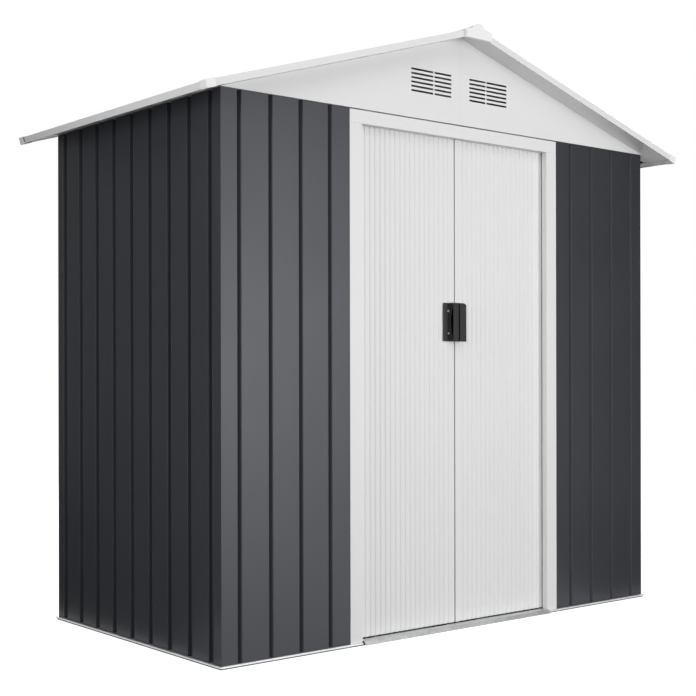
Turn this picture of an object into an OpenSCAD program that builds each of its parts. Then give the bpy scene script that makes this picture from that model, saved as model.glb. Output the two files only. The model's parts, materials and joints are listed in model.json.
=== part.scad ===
// Flat-pack metal storage shed with a gable roof and a pair of sliding doors.
// Origin at the plan centre on the ground, +X to the right along the front,
// +Y to the rear (the doors face -Y), +Z up. All sizes in millimetres.

/* [Walls] */
// Width of the walls over the corners
wall_w = 1750; // [1600:10:2100]
// Depth of the walls from front to rear
wall_d = 922; // [800:2:1400]
// Height of the wall tops above the ground
wall_top = 1534; // [1400:2:1800]
// Thickness of the pressed sheet
sheet_t = 0.8; // [0.5:0.1:1.2]
// Distance between the pressed grooves
groove_pitch = 103; // [90:1:120]
// Width of a front or rear groove at its mouth
groove_w = 15; // [13:0.5:24]
// Width of a side wall's groove at its mouth
side_groove_w = 24; // [21:0.5:28]
// Width of a front or rear groove at its floor
groove_floor_w = 3; // [2:0.5:12]
// Width of a side wall's groove at its floor
side_groove_floor_w = 19; // [10:0.5:20]
// Depth of a groove
groove_d = 11; // [5:0.5:14]
// Distance from a corner to the first groove on the front and rear
corner_strip = 59; // [50:1:70]
// Length of a corner panel's fold round onto the side wall
corner_fold = 24; // [20:1:30]
// Length of a lap between two panels
panel_lap = 14; // [8:1:16]

/* [Base] */
// Thickness of the folded rails and frames
rail_t = 1; // [0.8:0.1:1.5]
// Reach of the base ledge beyond the wall face
ledge_out = 6.7; // [4:0.1:12]
// Height of the base ledge that the walls stand on
ledge_h = 7.5; // [5:0.5:12]
// Height of the base ledge's lip above the ground
ledge_lift = 2.5; // [0:0.5:3]
// Height of the base rail's upstand behind the walls
upstand_h = 45; // [30:1:60]
// Reach of the base rail's foot behind the wall face
foot_in = 50; // [40:1:70]
// Radius of an anchor hole in the side feet
anchor_r = 4.5; // [3:0.5:6]
// Distance between the two anchor holes of a side foot
anchor_pitch = 600; // [400:10:700]

/* [Doorway] */
// Clear width between the door jambs
opening_w = 781; // [700:1:860]
// Height of the underside of the door header
opening_top = 1493; // [1360:1:1760]
// Width of the door frame's face
frame_w = 45; // [35:1:60]
// Gap between the door header and the gables above it
header_gap = 3; // [0:0.5:5]
// Depth of the frame's return into the doorway
frame_return = 19; // [12:0.5:24]
// Reach of the threshold ramp in front of the wall face
ramp_out = 16; // [8:1:30]
// Height of the threshold ramp
ramp_h = 12.3; // [9:0.1:16]
// Reach of the ramp's nose in front of the wall face, where its top begins
ramp_nose = 8; // [7:0.1:10]

/* [Doors] */
// Gap between the front of a door and the frame's return
door_clear = 5; // [5:0.5:8]
// Gap between the two doors when they are shut
door_gap = 5; // [5:0.5:8]
// Reach of a door behind its jamb when it is shut
door_lap = 22; // [10:1:30]
// Depth of a door over its folded edges
door_d = 18; // [16:0.5:24]
// Reach of a door's upper edge behind the header
door_top_lap = 17; // [12:0.5:18]
// Height of a door's lower edge above the ground
door_bottom = 14; // [6:0.5:16]
// Distance between the fine grooves of a door
rib_pitch = 19.6; // [15:0.1:30]
// Depth of a fine groove
rib_d = 2.5; // [1.5:0.1:4]
// Height of a door's folded channels
door_channel_h = 32; // [28:1:45]
// Width of a handle's plate
handle_w = 46; // [40:1:60]
// Width of a handle's hooded grip
grip_w = 22; // [18:0.5:32]
// Height of a handle
handle_h = 117; // [80:1:160]
// Height of the middle of the handles above the ground
handle_z = 933; // [800:1:1100]
// Reach of a handle's grip in front of the door
handle_out = 22; // [16:0.5:24]
// Thickness of a handle's walls
handle_t = 3; // [2:0.1:4]
// Depth of the finger scoop in the side of a handle's grip
scoop_d = 12; // [6:0.5:14]
// Clipped upper corner of the right handle
handle_corner = 5; // [3:0.5:12]

/* [Roof] */
// Slope of the roof in degrees
roof_pitch = 16.8; // [12:0.1:22]
// Reach of the eaves beyond the side walls
eave_out = 90.5; // [60:0.5:150]
// Reach of the roof beyond the front and rear walls
verge_out = 75; // [50:0.5:120]
// Height of a raised rib of the roof sheet
roof_rib_h = 15; // [8:0.5:20]
// Depth of the trims' flanges
trim_flange = 30; // [20:1:40]
// Length of a corner cap along each trim
cap_l = 28; // [20:1:40]
// Half width of a ridge end cap
ridge_cap_half = 52; // [45:1:60]
// Reach of a ridge end cap in front of the gable trims
ridge_cap_out = 12; // [4:0.5:20]
// Reach of a ridge end cap below the ridge of the roof sheets
ridge_cap_drop = 20; // [17:0.5:30]
// Reach of the gables' faces beyond the wall faces
gable_proud = 3.5; // [2.5:0.1:6]

/* [Vents] */
// Number of slots one above another in a vent
vent_rows = 6; // [3:1:8]
// Distance between the slots of a vent
vent_pitch = 12.8; // [10:0.1:16]
// Height of a slot
vent_slot_h = 5.6; // [3:0.1:7]
// Width of a vent
vent_w = 163; // [100:1:200]
// Distance between the middles of the two vents
vent_spacing = 240; // [200:1:300]
// Height of the lowest slot's middle above the wall tops
vent_rise = 80.5; // [60:0.5:110]

/* [Hidden] */

charcoal = "#4b4e53";
white = "#e4e5e4";
zinc = "#c3c6c8";
black = "#2b2c2e";

// Seat between two pieces that are fastened together
seat = 0.2;
// Running clearance of a slider
run_gap = 0.3;
// Small overrun of a cut past the faces it goes through
over = 1;
// Free space between a rail or slider and the fold beside it
slack = 2;
// Run of a panel's step into its lap
lap_run = 2;
// Wall thickness of the moulded roof caps
cap_t = 1.5;
// Gap between the end of a front wall and the return of its jamb
wall_end_gap = 1.5;

// Depth of a wall from its face to the back of its grooves
wall_t = groove_d + sheet_t;
// Distance behind the wall face of the rails that the walls are fixed to
rail_q = wall_t + seat;
half_w = wall_w / 2;
half_d = wall_d / 2;
half_open = opening_w / 2;
wall_bottom = ledge_h;
// Top of the wall sheets, just under the gables' flanges
sheet_top = wall_top - seat / 2;

// The doors run in one plane behind the frame's returns
door_q = frame_return + door_clear;
door_back_q = door_q + door_d;
door_top = opening_top + door_top_lap;
door_x0 = door_gap / 2;
door_x1 = half_open + door_lap;
door_mid_q = door_q + rib_d + sheet_t + (door_d - rib_d - sheet_t) / 2;
fin_t = 2;
fin_h = 15;
lower_fin_h = 8;
slider_l = 60;
channel_w = door_d - rib_d - sheet_t;
slider_w = channel_w - 2 * rail_t - 2 * seat;
track_half = 15;
track_q0 = door_mid_q - track_half;
track_q1 = door_mid_q + track_half;

// Underside of the roof sheet at the face of a side wall
roof_z = wall_top + rail_t + run_gap;
ridge_z = roof_z + half_w * tan(roof_pitch);
// Distances down the slope from the wall face to the ridge and to the eave
s_ridge = -half_w / cos(roof_pitch);
s_eave = eave_out / cos(roof_pitch);
half_roof_d = half_d + verge_out;
rib_top = roof_rib_h + sheet_t;
trim_top = rib_top + seat + rail_t;
trim_low = -2.5;
// Top of the pieces that carry the roof sheet
carry_low = seat + rail_t + seat;
ridge_gap = 3;

// Outline helpers

// One pressed groove at c, mouth width w, floor width f and depth d
function groove(c, w, f, d) = [[c - w / 2, 0], [c - f / 2, -d], [c + f / 2, -d], [c + w / 2, 0]];

// Grooves of a wall at the given centres, mouth width w and floor width f
function wall_grooves(centres, w, f) = [for (c = centres) each groove(c, w, f, groove_d)];

function reversed(points) = [for (i = [len(points) - 1 : -1 : 0]) points[i]];

function moved(points, step) = [for (p = points) p + step];

// Unit normal to the right of the step from a to b
function right_of(a, b) = [b[1] - a[1], a[0] - b[0]] / norm(b - a);

// The line set off square to its steps by t to its right
function set_off(points, t) = let (
    last = len(points) - 1,
    normals = [for (i = [0 : last - 1]) right_of(points[i], points[i + 1])]
  ) [
    for (i = [0 : last])
      let (m = normals[max(i - 1, 0)], n = normals[min(i, last - 1)])
        points[i] + t * (m + n) / (1 + m * n)
  ];

// Closed outline of a folded sheet of thickness t to the right of the given line
function sheet(points, t) = concat(points, reversed(set_off(points, t)));

// n centres at equal pitch either side of zero
function centred(n, pitch) = [for (i = [0 : n - 1]) (i - (n - 1) / 2) * pitch];

// Frames of the four walls: u along the wall, q outwards, z up

module facing(wall) {
  if (wall == "front") translate([0, -half_d, 0]) mirror([0, 1, 0]) children();
  if (wall == "rear") translate([0, half_d, 0]) children();
  if (wall == "left") translate([-half_w, 0, 0]) rotate(90) children();
  if (wall == "right") translate([half_w, 0, 0]) rotate(-90) children();
}

// Draws an outline of q and z along the wall from u0 to u1
module along(u0, u1) {
  translate([u0, 0, 0]) rotate([90, 0, 90]) linear_extrude(u1 - u0) children();
}

// Draws an outline of u and q upwards from z0 to z1
module upright(z0, z1) {
  translate([0, 0, z0]) linear_extrude(z1 - z0) children();
}

module mirrored(on) {
  mirror([on ? 1 : 0, 0, 0]) children();
}

// Base

module base_outline(foot) {
  leg = -rail_q;
  polygon([
    [ledge_out, ledge_lift], [ledge_out, ledge_h], [leg, ledge_h], [leg, upstand_h],
    [leg - rail_t, upstand_h], [leg - rail_t, rail_t], [-foot, rail_t], [-foot, 0], [leg, 0],
    [leg, ledge_h - rail_t], [ledge_out - rail_t, ledge_h - rail_t], [ledge_out - rail_t, ledge_lift]
  ]);
}

// Keeps a run of rail between mitres at the two ends of a wall of the given half length
module mitred(half) {
  q_out = ledge_out + over;
  q_in = -foot_in - over;
  intersection() {
    children();
    linear_extrude(upstand_h + over)
      polygon([
        [-half - q_out + seat, q_out], [half + q_out - seat, q_out],
        [half + q_in - seat, q_in], [-half - q_in + seat, q_in]
      ]);
  }
}

module side_base_rail(wall) {
  facing(wall)
    difference() {
      mitred(half_d) along(-half_d - ledge_out, half_d + ledge_out) base_outline(foot_in);
      for (u = [-1, 1] * anchor_pitch / 2)
        translate([u, -(foot_in + rail_q + rail_t) / 2, -over])
          cylinder(r = anchor_r, h = rail_t + 2 * over, $fn = 48);
    }
}

module left_base_rail() {
  color(zinc) side_base_rail("left");
}

module right_base_rail() {
  color(zinc) side_base_rail("right");
}

module rear_base_rail() {
  color(zinc)
    facing("rear") mitred(half_w) along(-half_w - ledge_out, half_w + ledge_out) base_outline(foot_in);
}

module front_base_rails() {
  color(zinc)
    for (right = [false, true])
      mirrored(right)
        facing("front")
          mitred(half_w)
            along(-half_w - ledge_out, -half_open - rail_t - seat) base_outline(track_q0 - seat);
}

// Folded ramp, open at its ends, with a steep nose in front of a nearly level top
module door_threshold() {
  top_q = -(frame_return - door_clear);
  foot_q = -track_q0 + seat;
  nose_h = ramp_h - rail_t;
  nose_foot = 1.3 * rail_t;
  color(zinc)
    facing("front")
      along(-half_open, half_open)
        polygon([
          [ramp_out, 0], [ramp_nose, nose_h], [top_q, ramp_h], [top_q - rail_t, ramp_h],
          [top_q - rail_t, rail_t], [foot_q, rail_t], [foot_q, 0], [top_q, 0], [top_q, ramp_h - rail_t],
          [ramp_nose - rail_t / 2, nose_h - rail_t], [ramp_out - nose_foot, 0]
        ]);
}

// Flat runner strip with an upright fin that the doors' lower sliders straddle
module lower_track() {
  half = half_w - foot_in - seat;
  color(zinc)
    facing("front")
      along(-half, half)
        polygon([
          [-track_q0, 0], [-track_q0, rail_t], [-door_mid_q + fin_t / 2, rail_t],
          [-door_mid_q + fin_t / 2, lower_fin_h], [-door_mid_q - fin_t / 2, lower_fin_h],
          [-door_mid_q - fin_t / 2, rail_t], [-track_q1, rail_t], [-track_q1, 0]
        ]);
}

// Walls

// Panel folded round a corner at u = -half, running to u_end, with an offset lap beyond it
function corner_panel(half, centres, u_end, lap) = let (
    step = sheet_t + seat / 2,
    end = lap > 0 ? [[u_end - lap_run, 0], [u_end, -step], [u_end + lap, -step]] : [[u_end, 0]],
    grooves = wall_grooves(centres, groove_w, groove_floor_w)
  ) sheet(concat([[-half, -corner_fold], [-half, 0]], grooves, end), sheet_t);

front_span = half_w - half_open - frame_w;
// Least distance from the last front groove to the door frame
front_plain = 30;
front_n = floor((front_span - corner_strip - front_plain) / groove_pitch) + 1;
front_centres = [for (i = [0 : front_n - 1]) -half_w + corner_strip + i * groove_pitch];

module front_wall(right) {
  color(charcoal)
    mirrored(right)
      facing("front")
        upright(wall_bottom, sheet_top)
          polygon(corner_panel(half_w, front_centres, -half_open - rail_t - wall_end_gap, 0));
}

module front_left_wall() {
  front_wall(false);
}

module front_right_wall() {
  front_wall(true);
}

// An even number of grooves leaves the middle of the rear wall plain for its lap
rear_bays = 2 * round((wall_w / 2 - corner_strip) / groove_pitch - 0.5) + 1;
rear_pitch = (wall_w - 2 * corner_strip) / rear_bays;
rear_centres = [for (i = [0 : (rear_bays - 1) / 2]) -half_w + corner_strip + i * rear_pitch];

module rear_left_wall() {
  color(charcoal)
    facing("rear")
      upright(wall_bottom, sheet_top)
        polygon(corner_panel(half_w, rear_centres, -seat / 2, panel_lap));
}

module rear_right_wall() {
  color(charcoal)
    mirrored(true)
      facing("rear")
        upright(wall_bottom, sheet_top)
          polygon(corner_panel(half_w, rear_centres, -seat / 2, 0));
}

side_n = floor((wall_d - 2 * (corner_fold + side_groove_w)) / groove_pitch) + 1;

// Side panel with offset ends that lap behind the corner folds
module side_wall(wall) {
  face_end = half_d - corner_fold - seat;
  step = -sheet_t - seat / 2;
  face = concat(
    [[-face_end - panel_lap, step], [-face_end, step], [-face_end + lap_run, 0]],
    wall_grooves(centred(side_n, groove_pitch), side_groove_w, side_groove_floor_w),
    [[face_end - lap_run, 0], [face_end, step], [face_end + panel_lap, step]]
  );
  color(charcoal)
    facing(wall) upright(wall_bottom, sheet_top) polygon(sheet(face, sheet_t));
}

module left_wall() {
  side_wall("left");
}

module right_wall() {
  side_wall("right");
}

// Door frame and tracks

frame_face = rail_t + seat / 4;
frame_back = seat / 4;
frame_lip = 11;

module door_jamb(right) {
  u_in = -half_open;
  u_out = -half_open - frame_w;
  color(white)
    mirrored(right)
      facing("front")
        upright(wall_bottom, opening_top - seat)
          polygon([
            [u_out, frame_face], [u_in, frame_face], [u_in, -frame_return], [u_in - frame_lip, -frame_return],
            [u_in - frame_lip, -frame_return + rail_t], [u_in - rail_t, -frame_return + rail_t],
            [u_in - rail_t, frame_back], [u_out, frame_back]
          ]);
}

module left_door_jamb() {
  door_jamb(false);
}

module right_door_jamb() {
  door_jamb(true);
}

// Face over the full frame, with its return between the jambs only
module door_header() {
  half = half_open + frame_w;
  z0 = opening_top;
  color(white)
    facing("front") {
      along(-half, half) translate([frame_back, z0]) square([rail_t, sheet_top - header_gap - z0]);
      along(-half_open - rail_t, half_open + rail_t)
        polygon([
          [frame_face, z0], [frame_face, z0 + rail_t], [-frame_return + rail_t, z0 + rail_t],
          [-frame_return + rail_t, z0 + frame_lip], [-frame_return, z0 + frame_lip], [-frame_return, z0]
        ]);
    }
}

// Front top rail with a hanging fin that the doors' upper sliders straddle
module upper_track() {
  half = half_w - rail_q - rail_t;
  top = sheet_top;
  leg_z = opening_top + frame_lip + slack;
  color(zinc)
    facing("front")
      along(-half, half)
        polygon([
          [-rail_q, leg_z], [-rail_q, top], [-track_q1, top], [-track_q1, top - rail_t],
          [-door_mid_q - fin_t / 2, top - rail_t], [-door_mid_q - fin_t / 2, top - fin_h],
          [-door_mid_q + fin_t / 2, top - fin_h], [-door_mid_q + fin_t / 2, top - rail_t],
          [-rail_q - rail_t, top - rail_t], [-rail_q - rail_t, leg_z]
        ]);
}

// Rails and braces inside the walls

top_leg_h = 40;
top_flange = 30;
brace_h = 40;
brace_d = 20;
brace_z = wall_top / 2;
// Height of a brace's flanges
brace_side = 12;

module side_top_rails() {
  half = half_d - track_q1 - slack;
  color(zinc)
    for (wall = ["left", "right"])
      facing(wall)
        along(-half, half)
          polygon([
            [0, sheet_top + seat / 2], [0, wall_top + rail_t], [-rail_q - top_flange, wall_top + rail_t],
            [-rail_q - top_flange, wall_top], [-rail_q - rail_t, wall_top],
            [-rail_q - rail_t, wall_top - top_leg_h], [-rail_q, wall_top - top_leg_h],
            [-rail_q, sheet_top + seat / 2]
          ]);
}

module rear_top_rail() {
  half = half_w - rail_q - rail_t;
  color(zinc)
    facing("rear")
      along(-half, half)
        polygon([
          [-rail_q, sheet_top - top_leg_h], [-rail_q, sheet_top], [-rail_q - top_flange, sheet_top],
          [-rail_q - top_flange, sheet_top - rail_t], [-rail_q - rail_t, sheet_top - rail_t],
          [-rail_q - rail_t, sheet_top - top_leg_h]
        ]);
}

// Hat-shaped brace against the backs of the grooves
module mid_brace(half) {
  z0 = brace_z - brace_h / 2;
  z1 = brace_z + brace_h / 2;
  q = -rail_q;
  side = brace_side;
  along(-half, half)
    polygon([
      [q, z0], [q, z0 + side], [q - brace_d, z0 + side], [q - brace_d, z1 - side], [q, z1 - side], [q, z1],
      [q - rail_t, z1], [q - rail_t, z1 - side + rail_t], [q - brace_d - rail_t, z1 - side + rail_t],
      [q - brace_d - rail_t, z0 + side - rail_t], [q - rail_t, z0 + side - rail_t], [q - rail_t, z0]
    ]);
}

module side_mid_braces() {
  color(zinc)
    for (wall = ["left", "right"])
      facing(wall) mid_brace(half_d - track_q1 - slack);
}

module rear_mid_brace() {
  color(zinc)
    facing("rear") mid_brace(half_w - rail_q - brace_d - 2 * rail_t);
}

// Gables

gable_flange = 38;
gable_fold = 20;

// Height of the roof sheet's underside at a distance x from the middle
function roof_under(x) = ridge_z - x * tan(roof_pitch);

module vent_slots(x) {
  slot_split = 0.56;
  bridge = 5.6;
  for (row = [0 : vent_rows - 1])
    translate([x - vent_w / 2, wall_top + vent_rise + row * vent_pitch - vent_slot_h / 2]) {
      square([vent_w * slot_split - bridge / 2, vent_slot_h]);
      translate([vent_w * slot_split + bridge / 2, 0])
        square([vent_w * (1 - slot_split) - bridge / 2, vent_slot_h]);
    }
}

// Half of a gable, for x below zero: face, folded foot and folded slope
module gable_half(vent_x) {
  low = wall_top;
  drop = seat / cos(roof_pitch);
  fold_t = rail_t / cos(roof_pitch);
  face = [
    [-half_w, low], [-seat / 2, low], [-seat / 2, roof_under(0) - drop], [-half_w, roof_under(half_w) - drop]
  ];
  slope_in = half_w - gable_flange;
  translate([0, -gable_proud, 0]) {
    rotate([90, 0, 0])
      translate([0, 0, -sheet_t])
        linear_extrude(sheet_t)
          difference() {
            polygon(face);
            if (vent_x != 0) vent_slots(vent_x);
          }
    translate([-half_w + rail_t, 0, low])
      cube([half_w - rail_t - seat / 2, gable_flange, rail_t]);
    rotate([90, 0, 0])
      translate([0, 0, -gable_fold])
        linear_extrude(gable_fold)
          polygon([
            [-slope_in, roof_under(slope_in) - drop - fold_t], [-seat / 2, roof_under(0) - drop - fold_t],
            [-seat / 2, roof_under(0) - drop], [-slope_in, roof_under(slope_in) - drop]
          ]);
  }
}

module front_gable_left() {
  color(white)
    translate([0, -half_d, 0]) gable_half(-vent_spacing / 2);
}

module front_gable_right() {
  color(white)
    translate([0, -half_d, 0]) mirrored(true) gable_half(-vent_spacing / 2);
}

module rear_gable_left() {
  color(white)
    translate([0, half_d, 0]) mirror([0, 1, 0]) gable_half(0);
}

module rear_gable_right() {
  color(white)
    translate([0, half_d, 0]) mirror([0, 1, 0]) mirrored(true) gable_half(0);
}

// Roof

// Frame of a roof slope: X down the slope from the wall face, Z square to the sheet
module on_slope(left) {
  mirrored(left) translate([half_w, 0, roof_z]) rotate([0, roof_pitch, 0]) children();
}

// Draws an outline of y and height square to the slope, from s0 down to s1
module down_slope(s0, s1) {
  translate([s0, 0, 0]) rotate([90, 0, 90]) linear_extrude(s1 - s0) children();
}

roof_rib_base = 34;
roof_rib_crest = 18;

module roof_panel(left) {
  half = half_roof_d - rail_t - seat;
  n = floor((wall_d - roof_rib_base) / groove_pitch) + 1;
  ribs = [for (c = centred(n, groove_pitch)) each groove(c, roof_rib_base, roof_rib_crest, -roof_rib_h)];
  face = concat([[-half, 0]], ribs, [[half, 0]]);
  color(white)
    on_slope(left)
      down_slope(s_ridge + ridge_gap, s_eave - rail_t - seat)
        polygon(sheet(face, -sheet_t));
}

module left_roof_panel() {
  roof_panel(true);
}

module right_roof_panel() {
  roof_panel(false);
}

ridge_beam_half = 22;
ridge_beam_web = 45;
purlin_half = 18;
purlin_web = 30;

// Folded ridge beam under the upper ends of the roof sheets
module ridge_beam() {
  half = half_d + gable_proud - sheet_t - run_gap;
  low = carry_low / cos(roof_pitch);
  b = ridge_beam_half;
  web = ridge_beam_web;
  t = rail_t / cos(roof_pitch);
  color(zinc)
    translate([0, half, 0])
      rotate([90, 0, 0])
        linear_extrude(2 * half)
          polygon([
            [0, roof_under(0) - low], [b, roof_under(b) - low], [b, roof_under(b) - low - web],
            [b - rail_t, roof_under(b) - low - web], [b - rail_t, roof_under(b - rail_t) - low - t],
            [0, roof_under(0) - low - t], [rail_t - b, roof_under(b - rail_t) - low - t],
            [rail_t - b, roof_under(b) - low - web], [-b, roof_under(b) - low - web],
            [-b, roof_under(b) - low]
          ]);
}

// Channel half way up each slope
module roof_purlins() {
  half = half_d + gable_proud - sheet_t - run_gap;
  b = purlin_half;
  web = purlin_web;
  s = s_ridge / 2;
  top = -carry_low;
  color(zinc)
    for (left = [false, true])
      on_slope(left)
        translate([s, half, 0])
          rotate([90, 0, 0])
            linear_extrude(2 * half)
              polygon([
                [-b, top], [b, top], [b, top - web], [b - rail_t, top - web], [b - rail_t, top - rail_t],
                [rail_t - b, top - rail_t], [rail_t - b, top - web], [-b, top - web]
              ]);
}

ridge_lap = 62;
// Reach of a ridge end cap's hood over the ridge cap
ridge_hood = 36;
hump_r = 16;
hump_h = 10;

// Points of the rolled ridge, a rise of h over a half width of r
function hump(r, h, z) = [for (a = [-90 : 15 : 90]) [r * sin(a), z + h * cos(a)]];

// Upper line of the folded ridge, x from -half to half, raised by lift
function ridge_line(half, lift) = let (
    z = ridge_z + (trim_top + seat) / cos(roof_pitch) + lift,
    drop = tan(roof_pitch)
  ) concat(
    [[-half, z - half * drop]],
    hump(hump_r, hump_h, z - hump_r * drop),
    [[half, z - half * drop]]
  );

module ridge_cap() {
  line = ridge_line(ridge_lap, 0);
  half = half_roof_d - seat;
  color(white)
    translate([0, half, 0])
      rotate([90, 0, 0])
        linear_extrude(2 * half)
          polygon(concat(line, reversed(moved(line, [0, rail_t]))));
}

module ridge_end_cap() {
  low = ridge_z - ridge_cap_drop;
  lift = rail_t + seat;
  line = ridge_line(ridge_cap_half, lift);
  upper = moved(line, [0, cap_t]);
  rotate([90, 0, 0]) {
    linear_extrude(ridge_cap_out)
      polygon(concat([[-ridge_cap_half, low]], upper, [[ridge_cap_half, low]]));
    translate([0, 0, -ridge_hood])
      linear_extrude(ridge_hood)
        polygon(concat(line, reversed(upper)));
  }
}

module ridge_end_caps() {
  color(white)
    for (turn = [0, 180])
      rotate(turn) translate([0, -half_roof_d - seat, 0]) ridge_end_cap();
}

// Channel trims round the roof's edges

module eave_trim(left) {
  half = half_roof_d - trim_flange - seat;
  e = s_eave;
  color(white)
    on_slope(left)
      translate([0, half, 0])
        rotate([90, 0, 0])
          linear_extrude(2 * half)
            polygon([
              [e, trim_low], [e, trim_top], [e - trim_flange, trim_top], [e - trim_flange, trim_top - rail_t],
              [e - rail_t, trim_top - rail_t], [e - rail_t, -seat / 2], [e - trim_flange, -seat / 2],
              [e - trim_flange, -seat / 2 - rail_t], [e - rail_t, -seat / 2 - rail_t], [e - rail_t, trim_low]
            ]);
}

module left_eave_trim() {
  eave_trim(true);
}

module right_eave_trim() {
  eave_trim(false);
}

// Trim along a verge, mitred at the ridge
module gable_trim(left, rear) {
  y = half_roof_d;
  color(white)
    mirror([0, rear ? 1 : 0, 0])
      mirrored(left)
        intersection() {
          on_slope(false)
            down_slope(s_ridge - trim_top, s_eave)
              polygon([
                [-y, trim_low], [-y, trim_top], [-y + trim_flange, trim_top],
                [-y + trim_flange, trim_top - rail_t], [-y + rail_t, trim_top - rail_t],
                [-y + rail_t, -seat / 2], [-y + trim_flange, -seat / 2],
                [-y + trim_flange, -seat / 2 - rail_t], [-y + rail_t, -seat / 2 - rail_t],
                [-y + rail_t, trim_low]
              ]);
          translate([seat / 2, -half_roof_d - over, 0])
            cube([wall_w, wall_d, 2 * ridge_z]);
        }
}

module front_left_gable_trim() {
  gable_trim(true, false);
}

module front_right_gable_trim() {
  gable_trim(false, false);
}

module rear_left_gable_trim() {
  gable_trim(true, true);
}

module rear_right_gable_trim() {
  gable_trim(false, true);
}

// Moulded cap over the corner where an eave trim meets a gable trim
module corner_cap() {
  t = cap_t;
  h = trim_top - trim_low + 2 * (t + seat);
  translate([s_eave - cap_l, -half_roof_d - seat - t, trim_low - seat - t])
    difference() {
      cube([cap_l + seat + t, cap_l + seat + t, h]);
      translate([-over, t, t]) cube([cap_l + seat + over, cap_l + seat + over, h - 2 * t]);
    }
}

module corner_caps() {
  color(white)
    for (left = [false, true])
      for (rear = [0, 1])
        mirror([0, rear, 0]) on_slope(left) corner_cap();
}

// Doors, drawn as the right one and mirrored for the left one

door_span = door_x1 - door_x0;
rib_edge = 14;
rib_n = floor((door_span - 2 * rib_edge) / rib_pitch);
rib_w = 0.64 * rib_pitch;
rib_floor_w = 0.33 * rib_pitch;
slider_inset = 30;

// Pressed sheet with fine grooves and folded edges, notched at the foot to pass the track's fin
module door_panel(left) {
  mid = (door_x0 + door_x1) / 2;
  ribs = [for (c = centred(rib_n, rib_pitch)) each groove(mid + c, rib_w, rib_floor_w, rib_d)];
  face = concat([[door_x0, -door_d], [door_x0, 0]], ribs, [[door_x1, 0], [door_x1, -door_d]]);
  fold_z = max(lower_fin_h + door_clear, door_bottom + slack);
  color(white)
    mirrored(left)
      facing("front")
        difference() {
          upright(door_bottom, door_top)
            translate([0, -door_q])
              polygon(sheet(face, sheet_t));
          translate([door_x0 - over, -door_back_q - over, door_bottom - over])
            cube([door_span + 2 * over, channel_w + over, fold_z - door_bottom + over]);
        }
}

// Outline of a door channel, open upwards from z = 0 at its web
module door_channel_outline() {
  q0 = -door_back_q;
  q1 = -door_q - rib_d - sheet_t;
  polygon([
    [q1, 0], [q1, door_channel_h], [q1 - rail_t, door_channel_h], [q1 - rail_t, rail_t],
    [q0 + rail_t, rail_t], [q0 + rail_t, door_channel_h], [q0, door_channel_h], [q0, 0]
  ]);
}

module door_channels(left) {
  u0 = door_x0 + sheet_t + seat;
  u1 = door_x1 - sheet_t - seat;
  color(zinc)
    mirrored(left)
      facing("front") {
        translate([0, 0, door_top - door_channel_h]) along(u0, u1) door_channel_outline();
        translate([0, 0, handle_z - door_channel_h / 2]) along(u0, u1) door_channel_outline();
        translate([0, 0, door_bottom + door_channel_h])
          mirror([0, 0, 1]) along(u0, u1) door_channel_outline();
      }
}

// Block in a channel with a slot for the track's fin, slot opening upwards
module slider_outline(h, slot_h) {
  s = fin_t / 2 + run_gap;
  w = slider_w / 2;
  polygon([[-w, 0], [w, 0], [w, h], [s, h], [s, h - slot_h], [-s, h - slot_h], [-s, h], [-w, h]]);
}

module door_sliders(left) {
  upper_low = door_top - door_channel_h + rail_t + seat;
  upper_top = sheet_top - rail_t - run_gap - slack;
  lower_top = door_bottom + door_channel_h - rail_t - seat;
  lower_low = rail_t + run_gap;
  color(black)
    mirrored(left)
      facing("front")
        for (u = [door_x0 + slider_inset, door_x1 - slider_inset - slider_l])
          translate([0, -door_mid_q, 0]) {
            translate([0, 0, upper_low])
              along(u, u + slider_l)
                slider_outline(upper_top - upper_low, upper_top - (sheet_top - fin_h) + over);
            translate([0, 0, lower_top])
              mirror([0, 0, 1])
                along(u, u + slider_l)
                  slider_outline(lower_top - lower_low, lower_fin_h - lower_low + over);
          }
}

// Outline of a handle's plate or grip of width w, with its upper outer corner clipped on the right handle
module handle_outline(w, left) {
  z0 = handle_z - handle_h / 2;
  z1 = handle_z + handle_h / 2;
  c = handle_corner;
  polygon(concat([[0, z1], [0, z0], [w, z0]], left ? [[w, z1]] : [[w, z1 - c], [w - c, z1]]));
}

// Plate with a hollow grip beside the meeting edge, scooped open to the fingers on its far side
module door_handle(left) {
  z0 = handle_z - handle_h / 2;
  t = handle_t;
  lip = handle_out - t;
  scoop_l = handle_h - 2 * (t + handle_corner);
  scoop_z = handle_z - scoop_l / 2;
  steps = 12;
  scoop = [
    for (i = [0 : steps]) [lip - 4 * scoop_d * i * (steps - i) / steps ^ 2, scoop_z + scoop_l * i / steps]
  ];
  color(black)
    mirrored(left)
      facing("front")
        translate([door_x0, -door_q, 0]) {
          rotate([90, 0, 0]) translate([0, 0, -t]) linear_extrude(t) handle_outline(handle_w, left);
          difference() {
            rotate([90, 0, 0])
              translate([0, 0, -handle_out]) linear_extrude(handle_out) handle_outline(grip_w, left);
            translate([t, t, z0 + t]) cube([grip_w - 2 * t, lip - t, handle_h - 2 * t - handle_corner]);
            along(grip_w - t - over, grip_w + over) polygon(scoop);
          }
        }
}

module left_door_panel() {
  door_panel(true);
}

module right_door_panel() {
  door_panel(false);
}

module left_door_channels() {
  door_channels(true);
}

module right_door_channels() {
  door_channels(false);
}

module left_door_sliders() {
  door_sliders(true);
}

module right_door_sliders() {
  door_sliders(false);
}

module left_door_handle() {
  door_handle(true);
}

module right_door_handle() {
  door_handle(false);
}

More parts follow.
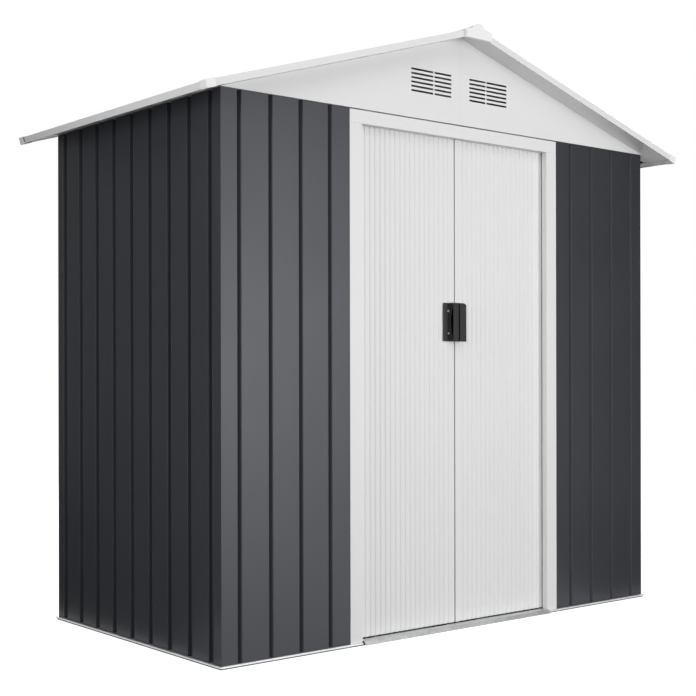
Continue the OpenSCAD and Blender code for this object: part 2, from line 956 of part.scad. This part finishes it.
front_base_rails();
left_base_rail();
right_base_rail();
rear_base_rail();
door_threshold();
lower_track();
front_left_wall();
front_right_wall();
left_wall();
right_wall();
rear_left_wall();
rear_right_wall();
left_door_jamb();
right_door_jamb();
door_header();
upper_track();
side_top_rails();
rear_top_rail();
side_mid_braces();
rear_mid_brace();
front_gable_left();
front_gable_right();
rear_gable_left();
rear_gable_right();
ridge_beam();
roof_purlins();
left_roof_panel();
right_roof_panel();
ridge_cap();
left_eave_trim();
right_eave_trim();
front_left_gable_trim();
front_right_gable_trim();
rear_left_gable_trim();
rear_right_gable_trim();
corner_caps();
ridge_end_caps();
left_door_panel();
left_door_channels();
left_door_sliders();
left_door_handle();
right_door_panel();
right_door_channels();
right_door_sliders();
right_door_handle();
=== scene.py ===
"""Flat-pack metal storage shed: finishes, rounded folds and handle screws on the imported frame."""
import json
import math

import bmesh
import bpy
from mathutils import Matrix, Vector


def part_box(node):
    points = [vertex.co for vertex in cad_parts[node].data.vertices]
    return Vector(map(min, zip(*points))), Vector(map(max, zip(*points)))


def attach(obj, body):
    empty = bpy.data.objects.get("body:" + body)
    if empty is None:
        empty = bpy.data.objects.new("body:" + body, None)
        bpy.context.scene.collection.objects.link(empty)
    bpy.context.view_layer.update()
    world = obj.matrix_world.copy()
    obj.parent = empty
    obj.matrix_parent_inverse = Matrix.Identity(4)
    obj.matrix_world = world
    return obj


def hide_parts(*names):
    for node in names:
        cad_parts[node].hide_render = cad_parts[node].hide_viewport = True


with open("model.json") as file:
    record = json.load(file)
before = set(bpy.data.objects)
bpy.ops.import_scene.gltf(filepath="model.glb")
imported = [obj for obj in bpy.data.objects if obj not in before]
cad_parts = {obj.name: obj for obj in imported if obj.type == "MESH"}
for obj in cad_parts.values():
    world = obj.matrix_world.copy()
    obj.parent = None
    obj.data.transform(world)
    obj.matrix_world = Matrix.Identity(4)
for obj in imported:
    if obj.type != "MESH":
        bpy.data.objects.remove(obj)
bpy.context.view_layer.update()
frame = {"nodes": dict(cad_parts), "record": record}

# Camera that took the photograph, in metres, degrees and photograph pixels
IMAGE_PX = 696
FOCAL_PX = 1307.0
HORIZON_PX = 371.8
CAMERA_AT = (-2.798, -3.327, 0.782)
CAMERA_YAW = 39.41
CAMERA_ROLL = 0.105
SENSOR_MM = 36.0

# Radius of the rounded folds and edges of each finish, in metres
EDGE_RADIUS = {
    "charcoal_sheet": 0.0024,
    "white_sheet": 0.0014,
    "white_plastic": 0.0022,
    "galvanised_steel": 0.0008,
    "black_plastic": 0.0012,
}
EDGE_SEGMENTS = 3
# Least width of a flat beside a rounded fold, as a multiple of the fold's radius
FOLD_ROOM = 2.3
# Least bend that counts as a fold, and the bend up to which two faces shade as one
LEAST_FOLD = math.radians(12)
SMOOTH_BELOW = math.radians(40)
# Distance within which points are one, and bend within which two faces are one flat
MERGE_WITHIN = 1e-6
FLAT_WITHIN = math.radians(0.5)

# Screws of the door handles, in metres
HANDLE_PLATE = 0.003
SCREW_RISE = 0.034
SCREW_FROM_PLATE_EDGE = 0.0195
SCREW_R = 0.0029
SCREW_H = 0.0016
SCREW_RECESS = 0.0009
# Faces across a screw's top
SCREW_FACES = 5
# Shares of a screw's radius: half the top, the top's rim, half a cross arm and the arm's reach
SCREW_TOP = 0.8
SCREW_RIM = 0.82
CROSS_HALF = 0.18
CROSS_REACH = 0.72

# Studio floor: half its size and its depth below the shed, in metres
FLOOR_HALF = 30.0
FLOOR_DROP = 0.0004
# Its tone to the light that bounces, its tone to the eye, how far they vary, and its own white
FLOOR_BOUNCE = (0.05, 0.05, 0.05)
FLOOR_SHADE = (0.36, 0.36, 0.36)
FLOOR_SPREAD = 0.02
FLOOR_GLOW = 0.92
# Strength of the even light from all round
AMBIENT = 0.24

# Tone of the dark cards
CARD_TONE = (0.02, 0.02, 0.02)
# Dark cards: middle and size in metres, tilt from lying flat and turn in degrees
FLAGS = {
    "rear_flag": ((-2.4, 3.2, 1.62), (5.5, 3.2), 90, 90),
    "right_flag": ((3.6, -3.0, 2.12), (5.2, 4.2), 90, 60),
    "rear_floor_flag": ((-1.66, 2.3, 0.002), (1.48, 4.8), 0, 0),
    "left_floor_flag": ((-0.96, -0.3, 0.002), (0.08, 0.4), 0, 0),
    "right_floor_flag": ((2.02, -1.49, 0.002), (2.55, 1.92), 0, 0),
}

# Soft lights: place, point aimed at and size in metres, power in watts, spread in degrees
SOFTBOXES = {
    "strip_softbox": ((1.47, -3.85, 1.06), (-0.65, -0.46, 0.88), (1.4, 2.1), 70.0, 180.0),
    "high_softbox": ((-0.9, -3.0, 3.6), (-0.5, -0.4, 1.1), (1.4, 2.0), 27.0, 180.0),
    "front_softbox": ((-0.75, -4.0, 0.9), (-0.5, -0.46, 0.6), (0.6, 1.2), 32.0, 180.0),
    "left_softbox": ((-3.2, -0.6, 1.1), (-0.9, -0.55, 1.0), (1.2, 2.2), 15.2, 100.0),
    "roof_softbox": ((0.0, 0.8, 4.6), (0.0, 0.3, 1.6), (2.4, 1.8), 62.0, 180.0),
    "rear_softbox": ((1.0, 4.2, 3.0), (0.3, 0.46, 1.0), (1.8, 1.6), 100.0, 180.0),
    "right_softbox": ((4.2, 1.0, 2.9), (0.9, 0.2, 1.0), (1.6, 1.6), 60.0, 180.0),
}


class Value:
    """A shader socket that can be used in sums."""

    def __init__(self, shader, socket):
        self.shader = shader
        self.socket = socket

    def math(self, operation, first, second):
        inputs = {0: first, 1: second}
        return self.shader.add("ShaderNodeMath", {"operation": operation}, inputs)

    def __add__(self, other):
        return self.math("ADD", self, other)

    def __radd__(self, other):
        return self.math("ADD", other, self)

    def __sub__(self, other):
        return self.math("SUBTRACT", self, other)

    def __rsub__(self, other):
        return self.math("SUBTRACT", other, self)

    def __mul__(self, other):
        return self.math("MULTIPLY", self, other)

    def __rmul__(self, other):
        return self.math("MULTIPLY", other, self)


class Shader:
    """The nodes of one material or of the world."""

    def __init__(self, owner):
        self.owner = owner
        owner.use_nodes = True
        self.tree = owner.node_tree
        self.tree.nodes.clear()

    def add(self, kind, settings, inputs, output=0):
        """Adds a node with its settings, then its socket values or links, and gives one output."""
        node = self.tree.nodes.new(kind)
        for key, value in settings.items():
            setattr(node, key, value)
        for key, value in inputs.items():
            if isinstance(value, Value):
                self.tree.links.new(value.socket, node.inputs[key])
            else:
                node.inputs[key].default_value = value
        return Value(self, node.outputs[output]) if node.outputs else None

    def coords(self):
        return self.add("ShaderNodeTexCoord", {}, {}, "Object")

    def light_path(self, ray):
        return self.add("ShaderNodeLightPath", {}, {}, ray)

    def seen(self):
        """One on the rays that show the background, straight or by way of metal and glass."""
        rays = ("Is Camera Ray", "Is Glossy Ray", "Is Transmission Ray")
        camera, glossy, through = [self.light_path(ray) for ray in rays]
        return camera + glossy + through

    def noise(self, coords, scale, detail=2.0, roughness=0.5):
        inputs = {"Vector": coords, "Scale": scale, "Detail": detail, "Roughness": roughness}
        return self.add("ShaderNodeTexNoise", {}, inputs)

    def tint(self, amount, low, high):
        """Mixes two colours by an amount from 0 to 1."""
        inputs = {0: amount, 6: (*low, 1.0), 7: (*high, 1.0)}
        return self.add("ShaderNodeMix", {"data_type": "RGBA"}, inputs, 2)

    def shades(self, amount, colour, spread):
        """Goes from a little under a colour to a little over it."""
        low = [c * (1.0 - spread) for c in colour]
        high = [c * (1.0 + spread) for c in colour]
        return self.tint(amount, low, high)

    def bump(self, height, strength, distance):
        inputs = {"Height": height, "Strength": strength, "Distance": distance}
        return self.add("ShaderNodeBump", {}, inputs)

    def surface(self, **sockets):
        """A Principled surface, with the spaces of its socket names as underscores."""
        named = {key.replace("_", " "): value for key, value in sockets.items()}
        return self.add("ShaderNodeBsdfPrincipled", {}, named)

    def matt(self, colour):
        """A surface without gloss."""
        return self.surface(Base_Color=colour, Roughness=1.0, Specular_IOR_Level=0.0)

    def finish(self, **sockets):
        """Gives the material its surface."""
        self.add("ShaderNodeOutputMaterial", {}, {"Surface": self.surface(**sockets)})
        return self.owner


def new_finish(name):
    return Shader(bpy.data.materials.new(name))


def powder_coat(name, colour, spread, roughness, specular, sheen):
    """Baked powder paint: fine orange peel, soft blotches of tone and an uneven tinted sheen."""
    s = new_finish(name)
    at = s.coords()
    peel = s.noise(at, scale=620.0, detail=2.0)
    drift = s.noise(at, scale=3.2, detail=3.0)
    speckle = s.noise(at, scale=2400.0, detail=1.0)
    return s.finish(
        Base_Color=s.shades(drift * 0.7 + speckle * 0.3, colour, spread),
        Roughness=roughness + 0.10 * (drift - 0.5) + 0.06 * (peel - 0.5),
        Specular_IOR_Level=specular,
        Specular_Tint=(*sheen, 1.0),
        Normal=s.bump(peel, strength=0.05, distance=0.0006),
    )


def zinc_spangle(name):
    """Galvanised steel with its crystal pattern."""
    s = new_finish(name)
    at = s.coords()
    cells = s.add("ShaderNodeTexVoronoi", {}, {"Vector": at, "Scale": 140.0}, "Color")
    crystal = s.add("ShaderNodeRGBToBW", {}, {"Color": cells})
    cloud = s.noise(at, scale=9.0, detail=4.0)
    tone = crystal * 0.5 + cloud * 0.5
    return s.finish(
        Base_Color=s.tint(tone, low=(0.48, 0.49, 0.50), high=(0.70, 0.71, 0.715)),
        Metallic=0.85,
        Roughness=0.36 + 0.16 * tone,
        Normal=s.bump(crystal, strength=0.04, distance=0.0004),
    )


def moulding(name, colour, spread, roughness, grain, specular):
    """Injection-moulded plastic with a fine spark-eroded grain."""
    s = new_finish(name)
    at = s.coords()
    pores = s.noise(at, scale=grain, detail=3.0, roughness=0.6)
    flow = s.noise(at, scale=22.0, detail=2.0)
    return s.finish(
        Base_Color=s.shades(flow * 0.6 + pores * 0.4, colour, spread),
        Roughness=roughness + 0.15 * (pores - 0.5),
        Specular_IOR_Level=specular,
        Normal=s.bump(pores, strength=0.18, distance=0.0005),
    )


def plated_screw(name):
    """Bright zinc plate with fine turning marks."""
    s = new_finish(name)
    marks = s.noise(s.coords(), scale=1500.0, detail=2.0)
    return s.finish(
        Base_Color=s.tint(marks, low=(0.80, 0.81, 0.82), high=(0.94, 0.95, 0.95)),
        Metallic=1.0,
        Roughness=0.34 + 0.2 * marks,
        Normal=s.bump(marks, strength=0.05, distance=0.0003),
    )


FINISHES = {
    "charcoal_sheet": powder_coat(
        "charcoal_powder_coat", colour=(0.0220, 0.0233, 0.0285), spread=0.10,
        roughness=0.44, specular=0.49, sheen=(0.94, 0.955, 1.0),
    ),
    "white_sheet": powder_coat(
        "white_powder_coat", colour=(0.766, 0.767, 0.767), spread=0.015,
        roughness=0.45, specular=0.35, sheen=(1.0, 1.0, 1.0),
    ),
    "white_plastic": moulding(
        "white_moulding", colour=(0.86, 0.862, 0.864), spread=0.012,
        roughness=0.5, grain=1400.0, specular=0.4,
    ),
    "galvanised_steel": zinc_spangle("galvanised_spangle"),
    "black_plastic": moulding(
        "black_moulding", colour=(0.018, 0.0185, 0.0198), spread=0.12,
        roughness=0.5, grain=1700.0, specular=0.22,
    ),
}
SCREW_FINISH = plated_screw("plated_screw")


def show(name, mesh_edit, material):
    """Turns a bmesh into an object at the origin with one material."""
    mesh = bpy.data.meshes.new(name)
    mesh_edit.to_mesh(mesh)
    mesh_edit.free()
    mesh.materials.append(material)
    obj = bpy.data.objects.new(name, mesh)
    bpy.context.scene.collection.objects.link(obj)
    return obj


def shade_folds(obj):
    """Smooth over the rounded folds, flat on the flats."""
    obj.data.shade_smooth()
    obj.data.set_sharp_from_angle(angle=SMOOTH_BELOW)
    even = obj.modifiers.new("even_normals", "WEIGHTED_NORMAL")
    even.keep_sharp = True


def width_across(face, edge):
    """Width of a face square to one of its edges."""
    run = (edge.verts[1].co - edge.verts[0].co).normalized()
    side = face.normal.cross(run)
    reach = [v.co.dot(side) for v in face.verts]
    return max(reach) - min(reach)


def folds(mesh_edit, radius):
    """Edges between two flats that are both wide enough to be rounded by the radius."""
    shared = [e for e in mesh_edit.edges if len(e.link_faces) == 2]
    bends = [e for e in shared if e.calc_face_angle(0.0) > LEAST_FOLD]
    room = FOLD_ROOM * radius
    return [e for e in bends if min(width_across(f, e) for f in e.link_faces) > room]


def finished_node(node, body, slot):
    """A CAD node with the rounded folds of pressed and moulded work, standing for the node."""
    edit = bmesh.new()
    edit.from_mesh(frame["nodes"][node].data)
    bmesh.ops.remove_doubles(edit, verts=edit.verts, dist=MERGE_WITHIN)
    bmesh.ops.dissolve_limit(edit, angle_limit=FLAT_WITHIN, verts=edit.verts, edges=edit.edges)
    radius = EDGE_RADIUS[slot]
    bmesh.ops.bevel(
        edit, geom=folds(edit, radius), offset=radius, segments=EDGE_SEGMENTS, profile=0.5,
        affect="EDGES", material=-1, clamp_overlap=True,
    )
    obj = show(node + "_finished", edit, FINISHES[slot])
    shade_folds(obj)
    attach(obj, body)
    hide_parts(node)


def screw_head(edit, at):
    """A domed head with a cross recess, its top facing the front of the shed."""
    made = bmesh.ops.create_grid(
        edit, x_segments=SCREW_FACES, y_segments=SCREW_FACES, size=SCREW_R * SCREW_TOP
    )
    verts = made["verts"]
    faces = {f for v in verts for f in v.link_faces}
    cross = [
        f for f in faces
        if min(abs(c) for c in f.calc_center_median().xy) < SCREW_R * CROSS_HALF
        and max(abs(c) for c in f.calc_center_median().xy) < SCREW_R * CROSS_REACH
    ]
    rim = [e for e in {e for f in faces for e in f.edges} if e.is_boundary]
    skirt = bmesh.ops.extrude_edge_only(edit, edges=rim)["geom"]
    lower = [v for v in skirt if isinstance(v, bmesh.types.BMVert)]
    for vert in lower:
        vert.co = vert.co.normalized() * SCREW_R
    bmesh.ops.translate(edit, vec=(0, 0, -SCREW_H), verts=lower)
    for vert in verts:
        if any(e.other_vert(vert) in lower for e in vert.link_edges):
            vert.co = vert.co.normalized() * SCREW_R * SCREW_RIM
    pushed = bmesh.ops.extrude_face_region(edit, geom=cross)["geom"]
    pit = [v for v in pushed if isinstance(v, bmesh.types.BMVert)]
    bmesh.ops.delete(edit, geom=cross, context="FACES")
    bmesh.ops.translate(edit, vec=(0, 0, -SCREW_RECESS), verts=pit)
    whole = list(set(verts) | set(lower) | set(pit))
    bmesh.ops.translate(edit, vec=(0, 0, SCREW_H), verts=whole)
    upright = Matrix.Rotation(math.pi / 2, 3, "X")
    bmesh.ops.rotate(edit, cent=(0, 0, 0), matrix=upright, verts=whole)
    bmesh.ops.translate(edit, vec=at, verts=whole)


def handle_screws(handle, body, outward):
    """Two screws through a handle's plate, beside its grip."""
    low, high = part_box(handle)
    plate_edge = high.x if outward > 0 else low.x
    x = plate_edge - outward * SCREW_FROM_PLATE_EDGE
    middle = (low.z + high.z) / 2
    edit = bmesh.new()
    for rise in (-SCREW_RISE, SCREW_RISE):
        screw_head(edit, (x, high.y - HANDLE_PLATE, middle + rise))
    bmesh.ops.recalc_face_normals(edit, faces=edit.faces)
    obj = show(handle + "_screws", edit, SCREW_FINISH)
    shade_folds(obj)
    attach(obj, body)


def finish_pieces():
    """Every node of the frame with its finish, and the screws of the handles."""
    slots = {part["node"]: part["material_slot"] for part in frame["record"]["subparts"]}
    for body, nodes in frame["record"]["behaviour"]["bodies"].items():
        for node in nodes:
            finished_node(node, body, slots[node])
    handle_screws("left_door_handle", "left_door", -1)
    handle_screws("right_door_handle", "right_door", 1)


def beyond(s, at, axis, half):
    """One where a point lies further out than half along an axis, else nothing."""
    along = s.add("ShaderNodeSeparateXYZ", {}, {"Vector": at}, axis)
    reach = s.add("ShaderNodeMath", {"operation": "ABSOLUTE"}, {0: along})
    return s.add("ShaderNodeMath", {"operation": "GREATER_THAN"}, {0: reach, 1: half})


def studio_floor():
    """Pale paper, white to the eye apart from the shed's shadow and the ground under the shed."""
    s = new_finish("studio_paper")
    at = s.coords()
    grain = s.noise(at, scale=30.0, detail=3.0)
    bounce = s.matt(s.shades(grain, FLOOR_BOUNCE, FLOOR_SPREAD))
    shade = s.matt(s.shades(grain, FLOOR_SHADE, FLOOR_SPREAD))
    glow = s.add("ShaderNodeEmission", {}, {"Strength": FLOOR_GLOW})
    beside = beyond(s, at, "X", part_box("right_base_rail")[1].x)
    before = beyond(s, at, "Y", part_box("rear_base_rail")[1].y)
    outside = s.add("ShaderNodeMath", {"operation": "MAXIMUM"}, {0: beside, 1: before})
    lit = s.add("ShaderNodeAddShader", {}, {0: shade, 1: glow})
    ground = s.add("ShaderNodeMixShader", {}, {0: outside, 1: shade, 2: lit})
    both = s.add("ShaderNodeMixShader", {}, {0: s.seen(), 1: bounce, 2: ground})
    s.add("ShaderNodeOutputMaterial", {}, {"Surface": both})
    edit = bmesh.new()
    bmesh.ops.create_grid(edit, x_segments=1, y_segments=1, size=FLOOR_HALF)
    bmesh.ops.translate(edit, vec=(0, 0, -FLOOR_DROP), verts=edit.verts)
    show("studio_floor", edit, s.owner)


def studio_world():
    """White to the eye and in reflections, and a soft even light on everything else."""
    world = bpy.data.worlds.new("studio")
    bpy.context.scene.world = world
    s = Shader(world)
    soft = s.add("ShaderNodeBackground", {}, {"Color": (1, 1, 1, 1), "Strength": AMBIENT})
    white = s.add("ShaderNodeBackground", {}, {"Color": (1, 1, 1, 1), "Strength": 1.0})
    both = s.add("ShaderNodeMixShader", {}, {0: s.seen(), 1: soft, 2: white})
    s.add("ShaderNodeOutputWorld", {}, {"Surface": both})


def studio_flags():
    """Dark cards out of the picture that the dark walls mirror, standing or lying on the floor."""
    s = new_finish("black_card")
    fibre = s.noise(s.coords(), scale=60.0, detail=3.0)
    s.finish(Base_Color=s.shades(fibre, CARD_TONE, spread=0.1), Roughness=0.9)
    for name, (at, size, tilt, turn) in FLAGS.items():
        edit = bmesh.new()
        # One metre square, until it is scaled to its size
        bmesh.ops.create_grid(edit, x_segments=1, y_segments=1, size=0.5)
        bmesh.ops.scale(edit, vec=(*size, 1.0), verts=edit.verts)
        for angle, axis in ((tilt, "X"), (turn, "Z")):
            swing = Matrix.Rotation(math.radians(angle), 3, axis)
            bmesh.ops.rotate(edit, cent=(0, 0, 0), matrix=swing, verts=edit.verts)
        bmesh.ops.translate(edit, vec=at, verts=edit.verts)
        card = show(name, edit, s.owner)
        card.visible_camera = False
        card.visible_diffuse = False
        card.visible_shadow = False


def studio_softboxes():
    """Soft panels of light out of the picture, one with its spread narrowed by a grid."""
    for name, (at, towards, size, watts, spread) in SOFTBOXES.items():
        lamp = bpy.data.lights.new(name, "AREA")
        lamp.shape = "RECTANGLE"
        lamp.size, lamp.size_y = size
        lamp.energy = watts
        lamp.spread = math.radians(spread)
        aim = (Vector(towards) - Vector(at)).to_track_quat("-Z", "Y")
        obj = bpy.data.objects.new(name, lamp)
        obj.location = at
        obj.rotation_euler = aim.to_euler()
        obj.visible_camera = False
        bpy.context.scene.collection.objects.link(obj)


def photograph_camera():
    """Level camera with a raised lens, as the upright edges stay upright in the photograph."""
    lens = bpy.data.cameras.new("photograph")
    lens.sensor_width = SENSOR_MM
    lens.lens = FOCAL_PX / IMAGE_PX * SENSOR_MM
    lens.shift_y = (HORIZON_PX - IMAGE_PX / 2) / IMAGE_PX
    camera = bpy.data.objects.new("photograph", lens)
    camera.location = CAMERA_AT
    camera.rotation_euler = (math.pi / 2, math.radians(CAMERA_ROLL), -math.radians(CAMERA_YAW))
    bpy.context.scene.collection.objects.link(camera)
    bpy.context.scene.camera = camera


photograph_camera()
studio_world()
studio_floor()
studio_flags()
studio_softboxes()
finish_pieces()

bpy.context.scene.view_settings.view_transform = "Standard"
